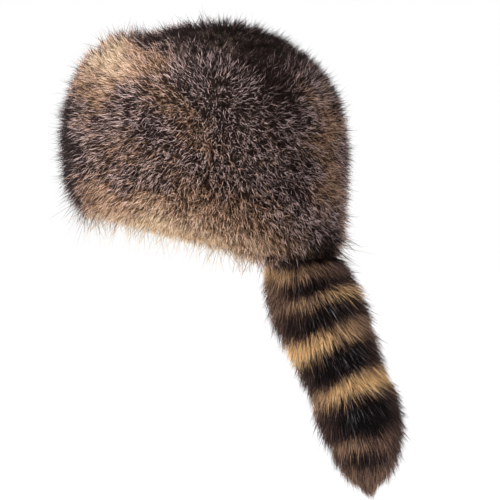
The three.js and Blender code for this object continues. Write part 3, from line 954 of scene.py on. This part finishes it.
def stitchObject():
    thread = {"radius": 0.085, "rise": 0.17, "sink": 0.16, "sides": 6, "steps": 6}
    rings = []
    for step in range(thread["steps"] + 1):
        t = step / thread["steps"] * 2 - 1
        middle = np.array([t * 0.5, 0, thread["rise"] * (1 - t**4) - thread["sink"] * t**4])
        fall = math.atan2(-4 * (thread["rise"] + thread["sink"]) * t**3, 0.5)
        turns = fullTurn(thread["sides"])
        outer = np.array([-math.sin(fall), 0, math.cos(fall)])
        rings.append(middle + thread["radius"] * (np.cos(turns)[:, None] * outer
                                                  - np.sin(turns)[:, None] * np.array([0, 1.0, 0])))
    return gridObject("stitch", np.array(rings), closedEnds=True)


def seamPath(name, points, facing):
    edges = [(i, i + 1) for i in range(len(points) - 1)]
    return meshObject(name, points.tolist(), edges, [], {"facing": facing})


sewStitches = stitchTree()
stitchShape = stitchObject()
threadLook = nappedFinish("waxedThread", {
    "fine": (1400.0, 2.0), "mix": (0.4, 0.6), "deep": (0.16, 0.10, 0.06), "light": (0.34, 0.24, 0.15),
    "bump": (0.6, 0.0002), "roughness": 0.6, "specular": 0.5,
})
# the tongue's stitches run inset from its edges, and across it near its top at topSpots
sewing = {
    "crownPoints": 161, "backPoints": 40, "backFrom": 0.24, "backTo": 0.97, "lift": 0.0001,
    "edgeFrom": 0.05, "inset": 0.86, "top": 0.9, "topSpots": (0.6, 0.3, 0.0, -0.3, -0.6),
    "looseness": 0.16, "seed": 5,
}
crownTurns = np.linspace(0, turnOnce, sewing["crownPoints"])
backTurns = np.full(sewing["backPoints"], math.pi)
backClimbs = np.linspace(sewing["backFrom"], sewing["backTo"], sewing["backPoints"])
edgeRows = [row for row in tongueRows if row[1] > sewing["edgeFrom"]]


def edgePoint(above, side):
    return tonguePoint(0, above, np.array([side]), tongueFar - sewing["lift"])[0]


tongueEdge = np.array(
    [edgePoint(above, share * sewing["inset"]) for _, above, share in edgeRows[:-2]]
    + [edgePoint(sewing["top"], side) for side in sewing["topSpots"]]
    + [edgePoint(above, -share * sewing["inset"]) for _, above, share in edgeRows[-3::-1]]
)
inside = -cap["peltThickness"] - sewing["lift"]
# seam, its path, the way it faces, spacing, size, slant in degrees
seams = [
    ("crownStitches", offPelt(crownTurns, 1.0, inside), -peltSlopes(crownTurns, 1.0)[1],
     0.0048, 0.0068, 68),
    ("backStitches", offPelt(backTurns, backClimbs, inside), -peltSlopes(backTurns, backClimbs)[1],
     0.0052, 0.0066, 62),
    ("tongueStitches", tongueEdge, np.tile([0.0, -1.0, 0.0], (len(tongueEdge), 1)),
     0.0046, 0.0034, 0),
]
for i, (name, points, facing, spacing, size, slant) in enumerate(seams):
    path = seamPath(name + "Path", points, facing)
    sewn = modified(path, sewStitches, {
        "Spacing": spacing,
        "Size": size,
        "Slant": math.radians(slant),
        "Looseness": sewing["looseness"],
        "Seed": sewing["seed"] + i,
        "Stitch": stitchShape,
        "Finish": threadLook,
    }, name)
    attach(sewn, "root")
    bpy.data.objects.remove(path, do_unlink=True)
    print(f"{name}: {len(sewn.data.polygons)} faces")
bpy.data.objects.remove(stitchShape, do_unlink=True)

coat = {
    "woolShare": 0.55, "woolGap": 0.0006, "woolDrop": 0.0035, "rootShare": 0.42, "underFrom": 0.06,
    "underTo": 0.92, "underRows": 5, "underDrop": 0.002, "underTurn": 0.5, "hang": 0.05, "tailAt": 165,
    "tailWide": 24, "tailClimb": 0.1, "tailReach": 1.3, "hemCover": 1.5, "hemBand": 0.06,
    "crownDensity": 2.3,
}
woolGrid = {"around": 120, "sideRows": 22, "crownRows": 18, "seam": 0.99, "apex": 0.02}
# the wool's rings under the hem: share of the coat's depth, and share of woolDrop that they hang
underWool = [(0.1, 0.2), (0.3, 0.9), (0.45, 0.8)]
woolTurns = fullTurn(woolGrid["around"])


def coatRing(turns, climb, share, below=0.0):
    ring = offPelt(turns, max(climb, 0.0), coatDepth(climb) * share)
    ring[:, 2] -= below
    return ring


def woolBody(name, climbs, hem):
    outer = [coatRing(woolTurns, c, coat["woolShare"]) for c in climbs]
    inner = [offPelt(woolTurns, c, coat["woolGap"]) for c in climbs]
    if hem:
        under = [coatRing(woolTurns, 0.0, share, coat["woolDrop"] * drop) for share, drop in underWool]
        return gridObject(name, np.array(under + outer + inner[::-1]), loops=True)
    return gridObject(name, np.array(inner[::-1] + outer), closedEnds=True)


def fleece(thing, finish, node):
    if finish is not None:
        thing.data.materials.append(finish)
    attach(thing, "root")
    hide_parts(node)


sideWoolClimbs = np.linspace(0.0, woolGrid["seam"], woolGrid["sideRows"])
crownWoolClimbs = 2 - np.linspace(woolGrid["seam"], woolGrid["apex"], woolGrid["crownRows"])
sideWool = woolBody("sideUnderfur", sideWoolClimbs, True)
crownWool = woolBody("crownUnderfur", crownWoolClimbs, False)
fleece(sideWool, coatWoolWithShadeAndGlow, "side_fur")
fleece(crownWool, coatWoolWithShadeAndGlow, "crown_fur")

# how the hairs lie against the climb: lean from upright in degrees, the share of full length, how far
# they point down, and how far the long ones pass the rest
layTable = [
    (-0.1, 44, 0.4, 2.6, 1.7),
    (0.0, 40, 0.44, 2.6, 1.7),
    (0.06, 34, 0.66, 2.2, 0.7),
    (0.15, 27, 0.95, 1.7, 0.0),
    (0.5, 15, 0.98, 0.75, 0.0),
    (0.8, 12, 0.98, 0.2, 0.0),
    (1.0, 9, 0.9, -0.2, 0.0),
    (1.15, 14, 0.78, 0.5, 0.0),
    (1.5, 28, 0.82, 1.0, 0.0),
    (2.0, 28, 0.8, 1.0, 0.0),
]
# angle, climb, how wide in degrees, how wide in climb, and how much longer or shorter the coat is there
trims = [
    (208, 0.5, 38, 0.6, -0.24),
    (42, 0.82, 26, 0.22, -0.26),
    (32, 1.14, 34, 0.13, 0.5),
    (204, 0.0, 14, 0.14, 0.7),
    (46, 0.0, 24, 0.1, 0.35),
    (168, 0.0, 18, 0.18, -0.45),
]
# on each side the hairs part here, in degrees from the front, and lie away from it
parting = {"angle": 118, "front": 1.15, "back": 2.2, "lean": 38, "swirl": 0.12}


def combing(turns):
    ahead = np.cos(turns) - math.cos(math.radians(parting["angle"]))
    return -np.sin(turns) * ahead * np.where(ahead > 0, parting["front"], parting["back"])


def rootMesh(name, rings, rows):
    return gridObject(name, np.array(rings), {key: np.array([row[key] for row in rows]) for key in rows[0]})


def furRoots(name, turns, climbs, hem=False):
    rings, rows = [], []
    combed = combing(turns)
    shares = np.linspace(coat["underFrom"], coat["rootShare"] * coat["underTo"], coat["underRows"])
    under = [(0.0, share) for share in shares] if hem else []
    for climb, share in under + [(climb, coat["rootShare"]) for climb in climbs]:
        isUnder = share < coat["rootShare"]
        below = coat["underDrop"] if isUnder else -min(climb, 0.0) * coat["hang"]
        up, outwards = peltSlopes(turns, max(climb, 0.0))
        lean, reach, down, wisp = (smoothTable(layTable, climb, column) for column in (1, 2, 3, 4))
        onward = np.cross(up, outwards)
        for place, height, wide, tall, change in trims:
            reach = reach * (1 + change * nearness(np.degrees(turns), climb, place, height, wide, tall))
        fromTail = (turns - math.radians(coat["tailAt"])) / math.radians(coat["tailWide"])
        byTail = np.exp(-(fromTail**2) - max(climb, 0) / coat["tailClimb"])
        rings.append(coatRing(turns, climb, share, below))
        rows.append({
            "lay": unit(onward * (combed - parting["swirl"])[:, None] - up * down),
            "facing": unit(outwards * coat["underTurn"] - up) if isUnder else outwards,
            "lean": np.radians(lean + parting["lean"] * combed**2),
            "reach": reach * (1 + coat["tailReach"] * byTail),
            "tone": coatTone(turns, climb),
            "cover": np.full(len(turns), coat["hemCover"] if climb < coat["hemBand"] else 1.0),
            "wisp": wisp * (1 - byTail),
        })
    return rootMesh(name, rings, rows)


rootGrid = {"around": 240, "sideRows": 70, "crownRows": 40, "hem": -0.02, "seam": 0.995, "apex": 0.02}
rootTurns = fullTurn(rootGrid["around"])
sideClimbs = np.linspace(rootGrid["hem"], rootGrid["seam"], rootGrid["sideRows"])
topClimbs = 2 - np.linspace(rootGrid["seam"], rootGrid["apex"], rootGrid["crownRows"])
sideRoots = furRoots("sideRoots", rootTurns, sideClimbs, True)
crownRoots = furRoots("crownRoots", rootTurns, topClimbs)

coatSizes = {
    "Density": 340000.0,
    "Length": 0.0185,
    "Length Spread": 0.26,
    "Long Share": 0.08,
    "Long Extra": 0.32,
    "Long Tone": -0.5,
    "Thickness": 0.62,
    "Lean Spread": 0.2,
    "Length Drift": 0.7,
    "Drift Size": 0.03,
    "Lock Size": 0.012,
    "Lock Pull": 1.25,
    "Tufts": 110000.0,
    "Tuft Pull": 0.7,
    "Tuft Sway": 0.75,
    "Pale Base": 0.09,
    "Pale Slope": 0.8,
    "Tuft Pale": 0.22,
    "Frizz": 0.2,
    "Patch Size": 0.007,
    "Patch Tone": 0.42,
    "Tone Spread": 0.1,
    "Bent Share": 0.5,
}
for i in range(3):
    side = growFur(f"sideHairs{i + 1}", sideRoots, coatFinish, 11 + i, coatSizes)
    fleece(side, None, "side_fur")
crownSizes = {**coatSizes, "Density": coatSizes["Density"] * coat["crownDensity"], "Pale Base": 0.0}
crownHair = growFur("crownHairs", crownRoots, coatFinish, 41, crownSizes)
fleece(crownHair, None, "crown_fur")
print("the coat is grown")

tailCoat = {
    "around": 72, "woolShare": 0.72, "rootShare": 0.66, "rootTop": -0.02, "rootEnd": 0.96, "rootRows": 60,
    "slopeTop": 0.02, "slopeEnd": 0.97, "slopeStep": 0.01, "leastReach": 0.35, "tipShift": 0.085,
    "doubleWave": 0.010, "tripleWave": 0.007, "density": 2.75,
}
tailWoolGrid = {
    "end": 0.97, "low": 0.93, "high": 0.03, "rows": 32, "lid": 0.012, "lidShare": 0.4, "boreTop": 0.01,
    "boreRows": 12, "boreGap": 0.0006,
}
tailTurns = fullTurn(tailCoat["around"])
woolDrops = np.linspace(tailWoolGrid["low"], tailWoolGrid["high"], tailWoolGrid["rows"])
woolDrops = np.concatenate([[tailWoolGrid["end"]], woolDrops])
woolRings = [roundTail(tailTurns, d, tailRadius(d) * tailCoat["woolShare"]) for d in woolDrops]
woolRings.append(roundTail(tailTurns, tailWoolGrid["lid"], tailRadius(0.0) * tailWoolGrid["lidShare"]))
boreDrops = np.linspace(tailWoolGrid["boreTop"], tailForm["dockEnd"], tailWoolGrid["boreRows"])
boreRings = [roundTail(tailTurns, d, dockRadius(d) + tailWoolGrid["boreGap"]) for d in boreDrops]
tailWoolBody = gridObject("tailUnderfur", np.array(woolRings + boreRings), closedEnds=True)
fleece(tailWoolBody, tailWoolWithShade, "tail_fur")

# lean from upright in degrees and share of full length, against the drop
tailLay = [
    (-0.05, 42, 0.6),
    (0.05, 46, 0.78),
    (0.14, 50, 1.0),
    (0.3, 54, 1.0),
    (0.7, 56, 1.0),
    (0.85, 62, 1.0),
    (0.95, 72, 1.0),
]


def tailRoots(name):
    rings, rows = [], []
    level = np.ones(len(tailTurns))
    for d in np.linspace(tailCoat["rootEnd"], tailCoat["rootTop"], tailCoat["rootRows"]):
        radius = tailRadius(max(d, 0.0))
        near = np.clip(d, tailCoat["slopeTop"], tailCoat["slopeEnd"])
        high, low = (roundTail(tailTurns, near + step, tailRadius(near + step))
                     for step in (-tailCoat["slopeStep"], tailCoat["slopeStep"]))
        along = unit(low - high)
        _, sideways, backwards = tailAxes(np.full(len(tailTurns), d))
        outwards = sideways * np.sin(tailTurns)[:, None] - backwards * np.cos(tailTurns)[:, None]
        outwards = unit(outwards - along * (outwards * along).sum(-1, keepdims=True))
        reach = smoothTable(tailLay, d, 2)
        fullness = radius / (tailForm["width"] / 2)
        fullness = tailCoat["leastReach"] + (1 - tailCoat["leastReach"]) * fullness
        wave = (tailCoat["doubleWave"] * np.sin(tailTurns * 2 + 1.0)
                + tailCoat["tripleWave"] * np.sin(tailTurns * 3 + 4 * d))
        rings.append(roundTail(tailTurns, d, radius * tailCoat["rootShare"]))
        rows.append({
            "lay": along,
            "facing": outwards,
            "lean": level * math.radians(smoothTable(tailLay, d, 1)),
            "reach": level * (reach * fullness),
            "tone": ringTone(tailTurns, d + tailCoat["tipShift"] * reach + wave),
            "cover": level,
            "wisp": level * 0.0,
        })
    return rootMesh(name, rings, rows)


tailRootMesh = tailRoots("tailRoots")
tailSizes = {
    **coatSizes,
    "Density": coatSizes["Density"] * tailCoat["density"],
    "Length": 0.0225,
    "Length Spread": 0.24,
    "Long Share": 0.09,
    "Long Extra": 0.4,
    "Long Tone": 0.05,
    "Thickness": 0.5,
    "Lean Spread": 0.18,
    "Length Drift": 0.5,
    "Lock Size": 0.020,
    "Lock Pull": 0.45,
    "Tufts": 60000.0,
    "Tuft Pull": 0.3,
    "Tuft Sway": 0.1,
    # in the black rings these pale hairs are the bluish-white painted glints
    "Pale Base": 0.03,
    "Pale Slope": 0.72,
    "Tuft Pale": 0.06,
    "Frizz": 0.15,
    "Patch Size": 0.012,
    "Patch Tone": 0.34,
    "Tone Spread": 0.14,
}
for i in range(2):
    brush = growFur(f"tailHairs{i + 1}", tailRootMesh, tailFinish, 71 + i, tailSizes)
    fleece(brush, None, "tail_fur")
print("the tail is grown")

for spare in (sideRoots, crownRoots, tailRootMesh, *hairs.values()):
    bpy.data.objects.remove(spare, do_unlink=True)
